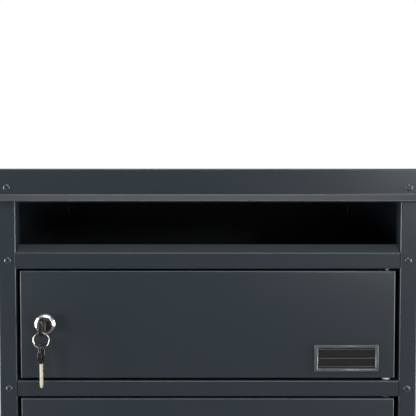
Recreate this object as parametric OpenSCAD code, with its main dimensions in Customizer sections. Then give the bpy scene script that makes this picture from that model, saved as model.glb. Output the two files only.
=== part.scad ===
// Cluster mailbox unit: a riveted sheet-steel cabinet with an open drop slot over a column of
// locked compartments. Each door turns on pivot pins at its right and has a cam lock at its left.
// Frame: +Z up, the doors face -Y, the origin is the centre of the footprint on the underside.
// Inside the modules, y is the depth behind the front plane of the posts, rails and doors.

/* [Cabinet] */
// Width over the side panels
body_w = 450; // [400:2:520]
// Depth from the front plane to the back face
body_d = 385; // [300:5:450]
// Number of doors, one above the other
door_count = 4; // [2:1:4]
// Thickness of the cabinet's steel sheet
sheet = 1.2; // [1:0.1:1.5]
// Outside radius of a folded edge
bend_r = 1.8; // [1.6:0.1:2.4]
// Width of the front posts, which are folded from the side panels
post_w = 19; // [16.5:0.5:24]
// Depth of the lip that is folded back at each post's inner edge
post_lip_d = 17; // [14:0.5:18]

/* [Front heights] */
// Height of the roof's front face
fascia_h = 27.5; // [22:0.5:40]
// Height of the drip edge below the fascia
drip_h = 7; // [4:0.5:10]
// How far the drip edge stands out
drip_out = 5; // [3:0.5:8]
// Clear height of the drop slot
slot_h = 47; // [35:1:60]
// Height and depth of the sloping lip under the slot
lip_h = 8; // [6:0.5:10]
// Height of the sill's front face
sill_h = 18; // [16:0.5:24]
// Height of the rail between two doors
rail_h = 17.5; // [16:0.5:24]
// Height of the rail under the lowest door
base_rail_h = 26; // [22:0.5:40]

/* [Doors] */
// Height of a door
door_h = 116.6; // [110:0.2:160]
// Depth of a door's folded edges
door_d = 16; // [14:0.5:16]
// Thickness of a door's sheet
door_sheet = 1; // [0.8:0.1:1.2]
// Gap between a door and the post at the lock side
gap_lock_side = 3.9; // [3.5:0.1:5]
// Gap between a door and the post at the hinge side
gap_hinge_side = 4.6; // [4.6:0.1:5.5]
// Gap over a door
gap_top = 1.8; // [1.5:0.1:3]
// Gap under a door, where the hinge washer shows
gap_bottom = 2.6; // [2.5:0.1:3]
// Distance from the hinge axis to the post
hinge_inset = 12.4; // [12:0.1:12.6]
// Depth of the hinge axis behind the front plane
hinge_depth = 8; // [7.5:0.1:8]

/* [Lock and key] */
// Distance from a door's lock-side edge to the lock's axis
lock_inset = 27; // [24:0.5:34]
// Diameter of the lock's head
lock_head_d = 23; // [21:0.5:25]
// Length of a key's handle
bow_l = 20; // [18:0.5:22]
// Width of a key's handle
bow_w = 18; // [17.5:0.5:22]
// Length of a key's blade
blade_l = 26.4; // [24:0.2:26.4]

/* [Name plate] */
// Width of the name plate holder
plate_w = 69.3; // [60:0.5:75]
// Height of the name plate holder
plate_h = 29; // [22:0.5:32]
// Distance from the holder to the door's hinge-side edge
plate_inset = 17.8; // [14:0.5:30]
// Distance from the holder to the door's lower edge
plate_rise = 7.6; // [5:0.5:14]

/* [Hidden] */
$fn = 48;
eps = 0.05;         // small gap that keeps touching pieces apart
inner_w = body_w - 2 * post_w;
wall_x = body_w / 2 - sheet;               // inner face of a side panel
door_pitch = gap_top + door_h + gap_bottom + rail_h;
door_w = inner_w - gap_lock_side - gap_hinge_side;
door_x = (gap_lock_side - gap_hinge_side) / 2;        // middle of a door
hinge_x = inner_w / 2 - hinge_inset;
lock_x = door_x - door_w / 2 + lock_inset;
lock_rise = 0.5;                           // the lock sits this much over the door's middle
plate_x = door_x + door_w / 2 - plate_inset - plate_w / 2;
sill_z = base_rail_h + door_count * door_pitch - rail_h;
body_h = sill_z + sill_h + lip_h + slot_h + drip_h + fascia_h;

shelf_lip = 14;          // folded lip under each rail
shelf_flange = 14;       // folded flange at each side of a shelf
base_flange = 20;        // and of the base
wide_y = 19.5;           // behind this depth, inner parts reach the side panels
back_flange = 22;        // forward flange of the back panel
floor_end = body_d - sheet - 0.8;
flange_start = wide_y + 5;
flange_end = body_d - back_flange - 10;
side_gap = 0.15;         // gap between an inner part and a side panel
tab_reach = 12;          // rail tab behind the post, past the rail's end
end_gap = 0.4;           // gap between a rail's end and the post
rail_w = inner_w - 2 * end_gap;
wide = 2 * (wall_x - side_gap);            // width of what spans from wall to wall
cap_gap = 0.1;           // gap between the roof and what it covers

lip_start = bend_r * (1 - cos(45));          // where the sill's bend meets the lip
lip_end = lip_start + lip_h;                 // depth of the lip's far edge
hem_y = lip_end + sheet * cos(45);           // depth of the hem's middle
chute_slope = 35;
chute_l = 110;
chute_y = hem_y + sheet + 0.3;               // front face of the chute's flange
chute_top = sill_z + sill_h + lip_h - 2;
chute_end = [chute_y + chute_l * cos(chute_slope), chute_top - chute_l * sin(chute_slope)];
chute_rivet_along = 70;                      // distance of the chute's rivets down its slope
chute_rivet_y = chute_y + chute_rivet_along * cos(chute_slope);
chute_rivet_z = chute_top - chute_rivet_along * sin(chute_slope) - 9;

pin_d = 5;
bush_bore = 5.1;
bush_d = 7;
washer_d = 8.5;
pin_reach = 8;           // how far a hinge pin enters a door
collar_d = 8;
collar_h = 1.5;

rivet_shank = 4;
rivet_hole = 4.1;
rivet_head = 7.5;
rivet_dome = 1.5;
rivet_hole_r = 1.1;      // radius of the hole that the mandrel leaves
roof_rivet_x = 150;
front_rivet_x = inner_w / 2 + 8.5;
drip_fillet = 2.5;       // radius where the drip edge leaves the fascia

wall_bolt_d = 9;
wall_bolt_x = 340;       // spacing of the wall bolts
wall_bolt_low = 70;
wall_bolt_high = 530;
base_bolt_x = 340;
base_bolt_y = 260;

head_h = 4.5;            // the lock's head stands out this far
barrel_d = 19;
barrel_flat = 16;
barrel_l = 25;
plug_d = 13;
plug_lip_d = 15;
keyway_w = 2.6;
keyway_h = 8.1;
nut_d = 27.7;            // across the nut's corners
cam_y = barrel_l + 0.3;  // near face of the cam
cam_t = 2;
cam_l = 40;
cam_w = 16;
cam_crank = 5;           // the cam's tip is this much nearer the door
stub = 7;                // square end that drives the cam
bow_t = 4.5;
blade_t = 2;
blade_h = 7.5;
bow_slot_w = 4;
bow_end = 3;             // from the slot to the handle's end
bow_rim = 2.8;           // thickness of the rim that the ring hangs on
ring_r = 8.35;           // to the middle of the wire
wire_r = 0.9;
rim_z = bow_w / 2 - bow_rim / 2;                 // from the key's axis to the rim's middle
ring_drop = ring_r - wire_r - bow_rim / 2 - 0.3;
ring_y = -(head_h + bow_l - bow_end - bow_slot_w / 2);  // the ring hangs in this plane
plate_t = 2.8;
card_t = 0.8;

DOORS = [for (i = [1:door_count]) i];
SHELVES = [for (i = [1:door_count - 1]) i];
DOOR_PARTS = ["panel", "bushes", "label_holder", "label_card", "lock_body", "lock_nut",
              "lock_plug", "lock_cam", "cam_screw"];

// ---- heights ----

// Door 1 is the highest. A shelf has the number of the door over it.
function door_z(i) = sill_z - gap_top - (i - 1) * door_pitch - door_h;
function lock_z(i) = door_z(i) + door_h / 2 + lock_rise;
function shelf_z(i) = door_z(i) - gap_bottom - rail_h;
fascia_rivet_drop = 20.2;    // from the roof's top to its front rivets
front_rivet_z = concat([body_h - fascia_rivet_drop, sill_z + sill_h / 2],
                       [for (i = SHELVES) shelf_z(i) + rail_h / 2], [base_rail_h / 2]);
shelf_rivet_y = [100, 280];
shelf_rivet_rise = 9.75;
base_rivet_z = 11;
back_rivet_z = [for (i = DOORS) door_z(i) + 30];
skirt_rivet_y = [60, 200, 340];
rear_y = body_d - back_flange / 2;

ring_z = lock_z(1) - rim_z - ring_drop;    // middle of the key ring

// ---- shared shapes ----

// Places children from the depth frame into the part's frame.
module placed() {
    translate([0, -body_d / 2, 0]) children();
}

// Rectangle with its two front corners rounded: x across, y deep.
module front_rounded(w, d, r) {
    translate([-w / 2 + r, 0]) square([w - 2 * r, d]);
    translate([-w / 2, r]) square([w, d - r]);
    for (s = [-1, 1]) translate([s * (w / 2 - r), r]) circle(r);
}

// Block whose four front edges are rounded, centred on x and z.
module rounded_block(w, h, d, r) {
    intersection() {
        linear_extrude(h, center = true) front_rounded(w, d, r);
        rotate([0, -90, 0]) linear_extrude(w, center = true) front_rounded(h, d, r);
    }
}

// Folded sheet pan, open at the back.
module pan(w, h, d, t, r) {
    difference() {
        rounded_block(w, h, d, r);
        translate([0, t, 0]) rounded_block(w - 2 * t, h - 2 * t, d, r - t);
    }
}

// Puts a profile drawn as [depth, height] across the cabinet.
module across(w) {
    rotate([90, 0, 90]) linear_extrude(w, center = true) children();
}

// Strip of sheet between two points of a profile, on the left of the way from a to b.
module strip(a, b, t) {
    d = b - a;
    n = [-d[1], d[0]] / norm(d) * t;
    polygon([a, b, b + n, a + n]);
}

// Round hole or rod along y.
module along_y(d, y0, y1) {
    translate([0, y0, 0]) rotate([-90, 0, 0]) cylinder(d = d, h = y1 - y0);
}

// Blind rivet whose head faces -y. The sheets that it joins start at y = 0.
module rivet(grip) {
    dome_r = (pow(rivet_head / 2, 2) + pow(rivet_dome, 2)) / (2 * rivet_dome);
    rotate([90, 0, 0]) rotate_extrude() difference() {
        union() {
            intersection() {
                translate([0, rivet_dome - dome_r]) circle(dome_r, $fn = 96);
                square([rivet_head / 2, rivet_dome]);
            }
            translate([0, -grip - 3]) square([rivet_shank / 2, grip + 3.1]);
            translate([0, -grip - 3]) square([rivet_shank / 2 + 0.8, 2.9]);
        }
        translate([-1, -20]) square([1, 40]);
        translate([0, 0.3]) square([rivet_hole_r, 5]);
    }
}

// Rivets of a side panel: every place as [y, z].
function shelf_places(z) = [for (y = shelf_rivet_y) [y, z]];
side_places = concat(
    [for (z = back_rivet_z) [rear_y, z]],
    [for (i = SHELVES) for (p = shelf_places(shelf_z(i) + shelf_rivet_rise)) p],
    shelf_places(base_rivet_z),
    [[chute_rivet_y, chute_rivet_z]]);
skirt_places = [for (y = skirt_rivet_y) [y, body_h - 14]];

// ---- cabinet ----

module side_profile() {
    // Plan of the right side panel: wall, post and the post's lip.
    difference() {
        translate([inner_w / 2 + post_w / 2, 0]) front_rounded(post_w, body_d, bend_r);
        translate([inner_w / 2 + post_w / 2, sheet])
            front_rounded(post_w - 2 * sheet, body_d, bend_r - sheet);
        translate([0, post_lip_d]) square([wall_x, body_d]);
    }
}

module side_panel() {
    difference() {
        linear_extrude(body_h - sheet - cap_gap) side_profile();
        // notches where the rails' tabs pass the lip
        rails = concat([[0, base_rail_h], [sill_z, sill_h]], [for (i = SHELVES) [shelf_z(i), rail_h]]);
        for (rail = rails) translate([inner_w / 2 - 1, sheet, rail[0]]) cube([sheet + 2, 6, rail[1]]);
        for (z = front_rivet_z) translate([front_rivet_x, 0, z]) along_y(rivet_hole, -1, 3);
        for (p = concat(side_places, skirt_places))
            translate([wall_x - 1, p[0], p[1]]) rotate([0, 90, 0]) cylinder(d = rivet_hole, h = 4);
    }
}

module right_side_panel() {
    color("#383e42") placed() side_panel();
}

module left_side_panel() {
    color("#383e42") placed() mirror([1, 0, 0]) side_panel();
}

// Outline of the drip edge: it leaves the fascia in a small curve and ends in a rolled hem.
module drip_profile(y0, low) {
    turn = atan(drip_out / drip_h);
    tip = [y0 - drip_out, low - drip_h];
    hem = 1.2;
    reach = drip_fillet * tan(turn / 2);
    // the way down the drip edge, and the point where it meets the fascia
    way = [-sin(turn), -cos(turn)];
    corner = [y0, low];
    difference() {
        union() {
            strip(corner, tip - hem * way, sheet);
            // the bend's inner side, and the curve on its outer side
            for (inner = [[[sheet, -0.5], [sheet, reach]], [[-drip_fillet, reach]]])
                polygon(concat([corner + [0, reach], corner + reach * way], [for (p = inner) corner + p]));
        }
        translate(corner + [-drip_fillet, reach]) circle(drip_fillet);
    }
    translate(tip - hem * way + hem * [cos(turn), -sin(turn)]) circle(hem);
}

module roof_cap() {
    w = body_w + 2 * (sheet + cap_gap);
    y0 = -sheet - cap_gap;
    low = body_h - fascia_h;
    depth = body_d - y0;
    color("#383e42") placed() difference() {
        union() {
            difference() {
                translate([0, y0, body_h - fascia_h / 2]) rounded_block(w, fascia_h, depth, bend_r);
                translate([0, y0 + sheet, body_h - sheet - fascia_h])
                    rounded_block(w - 2 * sheet, 2 * fascia_h, depth + 10, bend_r - sheet);
            }
            across(w) {
                translate([y0, low]) square([sheet, bend_r]);
                drip_profile(y0, low);
            }
        }
        for (s = [-1, 1]) {
            translate([s * front_rivet_x, 0, front_rivet_z[0]]) along_y(rivet_hole, -3, 3);
            for (p = skirt_places)
                translate([s * w / 2 - 2, p[0], p[1]]) rotate([0, 90, 0]) cylinder(d = rivet_hole, h = 4);
            translate([s * roof_rivet_x, rear_y, body_h - 3]) cylinder(d = rivet_hole, h = 6);
        }
    }
}

module back_panel() {
    low = sheet + cap_gap;
    high = body_h - sheet - 2 * cap_gap;
    color("#383e42") placed() difference() {
        translate([0, body_d, (low + high) / 2]) rotate([0, 0, 180])
            pan(wide, high - low, back_flange, sheet, bend_r);
        for (z = [wall_bolt_low, wall_bolt_high], s = [-1, 1])
            translate([s * wall_bolt_x / 2, 0, z]) along_y(wall_bolt_d, body_d - 5, body_d + 1);
        for (z = back_rivet_z) side_holes(rear_y, z);
        for (s = [-1, 1])
            translate([s * roof_rivet_x, rear_y, high - 4]) cylinder(d = rivet_hole, h = 6);
    }
}

// Tabs that are set back from a rail's front face and reach behind the posts.
module rail_tabs(z, h) {
    lap = 16;
    for (s = [-1, 1]) {
        translate([s * (rail_w + tab_reach - lap) / 2, 1.5 * sheet + eps, z + h / 2])
            cube([tab_reach + lap, sheet, h - 2], center = true);
        // joggle between the rail's face and the tab
        translate([s * (rail_w - lap) / 2, sheet + eps, z + h / 2])
            cube([lap - 2, sheet, h - 2], center = true);
    }
}

// Rivet hole through both side walls.
module side_holes(y, z) {
    for (s = [-1, 1]) translate([s * wall_x - 3, y, z]) rotate([0, 90, 0]) cylinder(d = rivet_hole, h = 6);
}

module rail_holes(z) {
    for (s = [-1, 1]) translate([s * front_rivet_x, 0, z]) along_y(rivet_hole, -1, 5);
}

module hinge_hole(z, h) {
    translate([hinge_x, hinge_depth, z]) cylinder(d = bush_bore, h = h);
}

// Flanges by which a shelf or the base is riveted to the side panels.
module side_flanges(z, h) {
    for (s = [-1, 1])
        translate([s * (wide - sheet) / 2, (flange_start + flange_end) / 2, z + h / 2])
            cube([sheet, flange_end - flange_start, h], center = true);
}

// Shelf and rail of one folded sheet, with its rail's underside at z.
module shelf(z) {
    top = z + rail_h;
    color("#383e42") placed() difference() {
        union() {
            across(rail_w) difference() {
                translate([0, z + rail_h / 2]) rotate(-90) front_rounded(rail_h, wide_y + 1, bend_r);
                translate([sheet, z + rail_h / 2]) rotate(-90)
                    front_rounded(rail_h - 2 * sheet, wide_y + 5, bend_r - sheet);
                translate([shelf_lip, z - 1]) square([20, rail_h - sheet + 1]);
            }
            translate([0, 0, top - sheet]) linear_extrude(sheet) {
                translate([-wide / 2, wide_y]) square([wide, flange_end + 6 - wide_y]);
                translate([-wide / 2 + 3, wide_y]) square([wide - 6, floor_end - wide_y]);
            }
            side_flanges(top - shelf_flange, shelf_flange);
            rail_tabs(z, rail_h);
        }
        rail_holes(z + rail_h / 2);
        hinge_hole(z - 1, rail_h + 2);
        for (y = shelf_rivet_y) side_holes(y, z + shelf_rivet_rise);
    }
}

module base_pan() {
    color("#383e42") placed() difference() {
        union() {
            across(rail_w) difference() {
                translate([0, base_rail_h / 2]) rotate(-90) front_rounded(base_rail_h, wide_y + 1, bend_r);
                translate([sheet, base_rail_h / 2]) rotate(-90)
                    front_rounded(base_rail_h - 2 * sheet, wide_y + 5, bend_r - sheet);
                translate([shelf_lip, sheet]) square([20, base_rail_h]);
            }
            linear_extrude(sheet) translate([-wide / 2, wide_y]) square([wide, body_d - wide_y - cap_gap]);
            side_flanges(0, base_flange);
            rail_tabs(0, base_rail_h);
        }
        rail_holes(base_rail_h / 2);
        hinge_hole(5, base_rail_h);
        for (y = shelf_rivet_y) side_holes(y, base_rivet_z);
        for (x = [-1, 1], y = [-1, 1])
            translate([x * base_bolt_x / 2, body_d / 2 + y * base_bolt_y / 2, -1])
                cylinder(d = wall_bolt_d, h = 5);
    }
}

// Rail under the drop slot. Its front face bends into a lip that slopes up and back to a hem.
module slot_sill() {
    z = sill_z;
    top = z + sill_h;
    hem_z = top - lip_start + lip_h - sheet * cos(45);
    color("#383e42") placed() difference() {
        union() {
            across(rail_w) {
                difference() {
                    translate([0, z + sill_h / 2]) rotate(-90) front_rounded(sill_h, shelf_lip, bend_r);
                    translate([sheet, z + sill_h / 2]) rotate(-90)
                        front_rounded(sill_h - 2 * sheet, shelf_lip + 5, bend_r - sheet);
                    translate([3, top - 3]) square([20, 5]);
                }
                strip([lip_end, top - lip_start + lip_h], [lip_start, top - lip_start], sheet);
                translate([hem_y, hem_z]) circle(sheet);
                translate([hem_y, z + 10]) square([sheet, hem_z - z - 10]);
            }
            rail_tabs(z, sill_h);
        }
        rail_holes(z + sill_h / 2);
        hinge_hole(z - 1, sheet + 2);
    }
}

// Plate that leads mail from the slot down into the first compartment and keeps a hand out.
module drop_chute() {
    flange_y = 30;
    flange_top = [flange_y, chute_top - (flange_y - chute_y) * tan(chute_slope) + sheet / 2];
    color("#383e42") placed() difference() {
        union() {
            across(wide) {
                strip([chute_y, chute_top], chute_end, sheet);
                strip([chute_y, chute_top - 14], [chute_y, chute_top + 0.9], -sheet);
            }
            for (s = [-1, 1]) translate([s * (wide - sheet) / 2, 0, 0]) across(sheet)
                polygon([flange_top, chute_end + [0, sheet / 2], chute_end - [0, 12],
                         flange_top - [0, 16]]);
        }
        // the posts stand in front of the plate's sides
        for (s = [-1, 1])
            translate([s * (inner_w / 2 - 0.8 + post_w), 0, chute_top])
                cube([2 * post_w, 2 * wide_y, 200], center = true);
        side_holes(chute_rivet_y, chute_rivet_z);
    }
}

// ---- fasteners and hinge pins ----

module front_rivets() {
    color("#4a5054") placed() for (s = [-1, 1], k = [0:len(front_rivet_z) - 1])
        translate([s * front_rivet_x, k == 0 ? -sheet - cap_gap : 0, front_rivet_z[k]])
            rivet(2 * sheet + cap_gap);
}

module side_rivets() {
    color("#4a5054") placed() {
        for (p = side_places)
            translate([body_w / 2, p[0], p[1]]) rotate([0, 0, 90]) rivet(2 * sheet + side_gap);
        for (p = skirt_places)
            translate([body_w / 2 + sheet + cap_gap, p[0], p[1]]) rotate([0, 0, 90])
                rivet(2 * sheet + cap_gap);
    }
}

module right_side_rivets() {
    side_rivets();
}

module left_side_rivets() {
    mirror([1, 0, 0]) side_rivets();
}

module roof_rivets() {
    color("#4a5054") placed() for (s = [-1, 1])
        translate([s * roof_rivet_x, rear_y, body_h]) rotate([-90, 0, 0]) rivet(2 * sheet + 2 * cap_gap);
}

// One pin through each rail serves the door over it and the door under it. The collars at the
// heights given rest on the rails' lower lips, and the lowest one is under the base rail's lip.
module hinge_pin(z0, z1, collar_z) {
    translate([0, 0, z0]) cylinder(d = pin_d, h = z1 - z0);
    translate([0, 0, collar_z]) cylinder(d = collar_d, h = collar_h);
}

module hinge_pins() {
    color("#b8bcc0") placed() translate([hinge_x, hinge_depth, 0]) {
        hinge_pin(sill_z - gap_top - pin_reach, sill_z + pin_reach, sill_z + sheet + eps);
        for (i = SHELVES)
            hinge_pin(shelf_z(i) - gap_top - pin_reach, shelf_z(i) + rail_h + gap_bottom + pin_reach,
                      shelf_z(i) + sheet + eps);
        hinge_pin(base_rail_h - pin_reach, base_rail_h + gap_bottom + pin_reach,
                  base_rail_h - sheet - collar_h - eps);
    }
}

// ---- door ----

module door_panel(i) {
    z = door_z(i);
    color("#383e42") placed() difference() {
        translate([door_x, 0, z + door_h / 2]) pan(door_w, door_h, door_d, door_sheet, bend_r);
        translate([hinge_x, hinge_depth, z - 1]) cylinder(d = bush_d + 0.1, h = door_h + 2);
        translate([lock_x, 0, lock_z(i)]) intersection() {
            along_y(barrel_d + 0.2, -1, 3);
            cube([barrel_flat + 0.2, 10, 30], center = true);
        }
    }
}

// Nylon bushes in the door's lower and upper folds. The lower one has the washer that shows.
module door_bushes(i) {
    z = door_z(i);
    color("#e6e6e2") placed() translate([hinge_x, hinge_depth, 0]) {
        translate([0, 0, z]) difference() {
            union() {
                translate([0, 0, -gap_bottom + 0.15]) cylinder(d = washer_d, h = gap_bottom - 0.15);
                cylinder(d = bush_d, h = 5);
            }
            translate([0, 0, -5]) cylinder(d = bush_bore, h = 12);
        }
        translate([0, 0, z + door_h]) difference() {
            union() {
                translate([0, 0, -door_sheet - 2]) cylinder(d = washer_d, h = 2);
                translate([0, 0, -door_sheet - 4]) cylinder(d = bush_d, h = door_sheet + 4);
            }
            translate([0, 0, -8]) cylinder(d = bush_bore, h = 12);
        }
    }
}

module label_holder(i) {
    z = door_z(i) + plate_rise + plate_h / 2;
    color("#c8d0d4", 0.4) placed() translate([plate_x, 0, z]) difference() {
        hull() {
            translate([0, -0.5, 0]) cube([plate_w, 1, plate_h], center = true);
            translate([0, -plate_t + 0.2, 0]) cube([plate_w - 3, 0.4, plate_h - 3], center = true);
        }
        cube([plate_w - 7, 2 * (card_t + 0.4), plate_h - 7], center = true);
    }
}

module label_card(i) {
    z = door_z(i) + plate_rise + plate_h / 2;
    color("#1c1c1c") placed() translate([plate_x, -card_t / 2 - 0.2, z])
        cube([plate_w - 8, card_t, plate_h - 8], center = true);
}

// ---- lock: each piece is drawn about the lock's axis, y behind the front plane ----

module at_lock(i) {
    placed() translate([lock_x, 0, lock_z(i)]) children();
}

module lock_body(i) {
    color("#c9ccd0") at_lock(i) difference() {
        union() {
            rotate([90, 0, 0]) rotate_extrude() polygon([[0, 0], [lock_head_d / 2, 0],
                [lock_head_d / 2, 1.2], [lock_head_d / 2 - 2.4, head_h], [0, head_h]]);
            intersection() {
                along_y(barrel_d, -1, barrel_l);
                translate([0, 10, 0]) cube([barrel_flat, 60, 40], center = true);
            }
        }
        along_y(plug_d + 0.1, -10, barrel_l + 1);
        along_y(plug_lip_d + 0.1, -10, -head_h + 1.8);
    }
}

module lock_nut(i) {
    color("#a9adb0") at_lock(i) difference() {
        translate([0, door_sheet, 0]) rotate([-90, 0, 0]) cylinder(d = nut_d, h = 3.5, $fn = 6);
        along_y(barrel_d + 0.1, 0, 10);
    }
}

module lock_plug(i) {
    color("#b9b4a2") at_lock(i) difference() {
        union() {
            along_y(plug_d, -head_h + 0.3, cam_y - eps);
            along_y(plug_lip_d, -head_h + 0.3, -head_h + 1.75);
            translate([0, cam_y + cam_t / 2 - eps, 0]) cube([stub, cam_t, stub], center = true);
        }
        translate([0, -head_h + 13.4, 0]) cube([keyway_w, 27, keyway_h], center = true);
        along_y(4.1, barrel_l - 1.7, barrel_l + 5);
    }
}

// The cam hangs down when the door is unlocked, and swings to the left behind the post.
module lock_cam(i) {
    tip = cam_y - cam_crank;
    flat = cam_y;
    color("#b4b8bb") at_lock(i) difference() {
        intersection() {
            // side view of the cranked strip: [depth, height]
            across(cam_w) polygon([[flat, 9], [flat, -12], [tip, -18], [tip, -cam_l],
                [tip + cam_t, -cam_l], [tip + cam_t, -18.8], [flat + cam_t, -12.8], [flat + cam_t, 9]]);
            rotate([-90, 0, 0]) linear_extrude(50) {
                circle(cam_w / 2);
                translate([-cam_w / 2, 0]) square([cam_w, cam_l - cam_w / 2]);
                translate([0, cam_l - cam_w / 2]) circle(cam_w / 2);
            }
        }
        translate([0, barrel_l, 0]) cube([stub + 0.1, 20, stub + 0.1], center = true);
    }
}

module cam_screw(i) {
    seat = cam_y + cam_t + eps;
    color("#8f9396") at_lock(i) difference() {
        union() {
            along_y(4, barrel_l - 1.5, seat + 1);
            along_y(10, seat, seat + 2.4);
        }
        for (a = [0, 90]) rotate([0, a, 0]) translate([0, seat + 2.4, 0])
            cube([5.5, 2.4, 1.1], center = true);
    }
}

// ---- keys: drawn about the key's axis, with the shoulder at y = 0 and the handle towards -y ----

module blade_shape() {
    // cuts along the blade's lower edge: [distance from the shoulder, depth]
    cuts = [[5, 1.4], [9, 2.2], [13, 0.9], [17, 1.8], [21, 1.1]];
    rotate([0, -90, 0]) linear_extrude(blade_t, center = true) difference() {
        polygon([[-blade_h / 2, -3], [blade_h / 2, -3], [blade_h / 2, blade_l - 3],
                 [1, blade_l], [-1, blade_l], [-blade_h / 2, blade_l - 3]]);
        for (c = cuts) translate([-blade_h / 2, c[0]])
            polygon([[0, -c[1] - 0.8], [c[1], -0.8], [c[1], 0.8], [0, c[1] + 0.8]]);
    }
}

// Handle with a slot across its far end, closed at both ends by a round rim for the ring.
module bow_shape() {
    corner = 5;
    slot_y = -(bow_l - bow_end - bow_slot_w / 2);
    difference() {
        rotate([0, 90, 0]) linear_extrude(bow_t, center = true) {
            translate([-bow_w / 2 + corner, -bow_l]) square([bow_w - 2 * corner, bow_l - 3]);
            translate([-bow_w / 2, -bow_l + corner]) square([bow_w, bow_l - 2 * corner - 3]);
            for (s = [-1, 1], y = [-bow_l + corner, -corner - 3])
                translate([s * (bow_w / 2 - corner), y]) circle(corner);
            translate([-blade_h / 2 - 1, -4]) square([blade_h + 2, 4]);
        }
        translate([0, slot_y, 0]) cube([20, bow_slot_w, bow_w + 5], center = true);
        cube([blade_t + 2 * eps, 6 + 2 * eps, blade_h + 2 * eps], center = true);
    }
    for (s = [-1, 1])
        translate([0, slot_y, s * rim_z]) along_y(bow_rim, -bow_slot_w / 2 - 1, bow_slot_w / 2 + 1);
}

module at_key() {
    placed() translate([lock_x, -head_h, lock_z(1)]) children();
}

module key_blade() {
    color("#c9c3a4") at_key() blade_shape();
}

module key_bow() {
    color("#2a2a2c") at_key() bow_shape();
}

module key_ring() {
    color("#c8c6bc") placed() translate([lock_x, ring_y, ring_z]) rotate([90, 0, 0])
        rotate_extrude() translate([ring_r, 0]) circle(wire_r, $fn = 24);
}

// The spare key hangs edge-on from the ring's lowest point, its cut edge towards the door.
module at_spare_key() {
    end_z = ring_z - ring_r + wire_r + 0.75 + bow_end;
    placed() translate([lock_x, ring_y, end_z - bow_l]) rotate([-90, 0, 0]) children();
}

module spare_key_blade() {
    color("#d8d2b4") at_spare_key() rotate([0, 180, 0]) blade_shape();
}

module spare_key_bow() {
    color("#2a2a2c") at_spare_key() bow_shape();
}

// ---- nodes ----

roof_cap();
left_side_panel();
right_side_panel();
back_panel();
base_pan();
slot_sill();
drop_chute();
hinge_pins();
front_rivets();
left_side_rivets();
right_side_rivets();
roof_rivets();
for (i = SHELVES) shelf(shelf_z(i));
for (i = DOORS) {
    door_panel(i);
    door_bushes(i);
    label_holder(i);
    label_card(i);
    lock_body(i);
    lock_nut(i);
    lock_plug(i);
    lock_cam(i);
    cam_screw(i);
}
key_blade();
key_bow();
key_ring();
spare_key_blade();
spare_key_bow();
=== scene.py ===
# %% [markdown]
# # A cluster mailbox unit
# The real object is a cabinet of folded steel sheet with an anthracite powder coat: a roof with a flared
# drip edge, an open drop slot, and a column of doors that turn on pins at their right and have a cam lock
# at their left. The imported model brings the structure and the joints. This lesson adds the camera, the
# light and the finishes, and models the doors and the small parts that the eye goes to: rivets, pins, locks,
# keys, name plates.

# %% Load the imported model
import math

import bmesh
import bpy
from mathutils import Matrix, Vector


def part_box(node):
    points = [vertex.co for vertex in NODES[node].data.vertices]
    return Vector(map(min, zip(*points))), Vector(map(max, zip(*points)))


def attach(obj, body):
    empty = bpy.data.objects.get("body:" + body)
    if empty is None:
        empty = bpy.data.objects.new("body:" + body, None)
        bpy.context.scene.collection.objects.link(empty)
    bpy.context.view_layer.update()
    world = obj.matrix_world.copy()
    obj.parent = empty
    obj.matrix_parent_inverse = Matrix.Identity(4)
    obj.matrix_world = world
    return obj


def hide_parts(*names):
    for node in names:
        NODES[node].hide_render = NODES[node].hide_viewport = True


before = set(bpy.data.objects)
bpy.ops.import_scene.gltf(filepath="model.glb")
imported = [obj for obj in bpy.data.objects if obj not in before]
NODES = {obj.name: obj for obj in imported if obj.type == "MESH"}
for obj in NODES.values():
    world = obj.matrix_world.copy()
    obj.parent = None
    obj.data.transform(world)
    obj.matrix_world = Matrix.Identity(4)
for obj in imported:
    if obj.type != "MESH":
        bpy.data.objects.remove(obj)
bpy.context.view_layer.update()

MM = 0.001
DOORS = [1, 2, 3, 4]

# %% [markdown]
# ## Camera
# The view is almost straight on, from just under the roof, and so close that the cabinet's sides and its
# lower doors are out of view. It could be framed as well from far away with a longer lens, but a short
# distance shows the side of the key's handle and looks down on the sill's lip. The camera stands on the
# middle line of the front.

# %% Camera
FRONT_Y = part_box("left_side_panel")[0].y
CAMERA_DISTANCE = 0.780
CAMERA_HEIGHT = 0.6637
CAMERA_TILT = 2.62          # degrees below level
LENS = 63.3                 # mm

camera = bpy.data.objects.new("camera", bpy.data.cameras.new("camera"))
bpy.context.scene.collection.objects.link(camera)
camera.location = (0.0, FRONT_Y - CAMERA_DISTANCE, CAMERA_HEIGHT)
camera.rotation_euler = (math.radians(90 - CAMERA_TILT), 0, 0)
camera.data.lens = LENS
camera.data.clip_start = 0.01
bpy.context.scene.camera = camera
print("front plane", round(FRONT_Y / MM, 1), "mm, camera", [round(v, 4) for v in camera.location])

# %% [markdown]
# ## Colours and nodes
# Colours are written as sRGB hex values, as paint charts give them. Shaders work in linear light, so one
# function turns them. One more function adds any node: it sets the node's properties, and each of its
# inputs is either given a value or linked to another node's output.

# %% Colour and node helpers
def linear(hex_colour, alpha=1.0):
    """A hex colour as the linear values that a shader socket takes."""
    parts = [int(hex_colour[i:i + 2], 16) / 255 for i in (1, 3, 5)]
    return (*[p / 12.92 if p <= 0.04045 else ((p + 0.055) / 1.055) ** 2.4 for p in parts], alpha)


def add(tree, kind, inputs=(), **settings):
    """Adds a node, sets its properties, and fills or links its inputs."""
    node = tree.nodes.new(kind)
    for name, value in settings.items():
        setattr(node, name, value)
    for name, value in dict(inputs).items():
        if isinstance(value, bpy.types.NodeSocket):
            tree.links.new(value, node.inputs[name])
        else:
            node.inputs[name].default_value = value
    return node


def per_mm(size):
    """The scale of a pattern whose features are this many millimetres wide."""
    return 1 / (size * MM)


print("anthracite in linear light", [round(v, 4) for v in linear("#383E42")])

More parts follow.
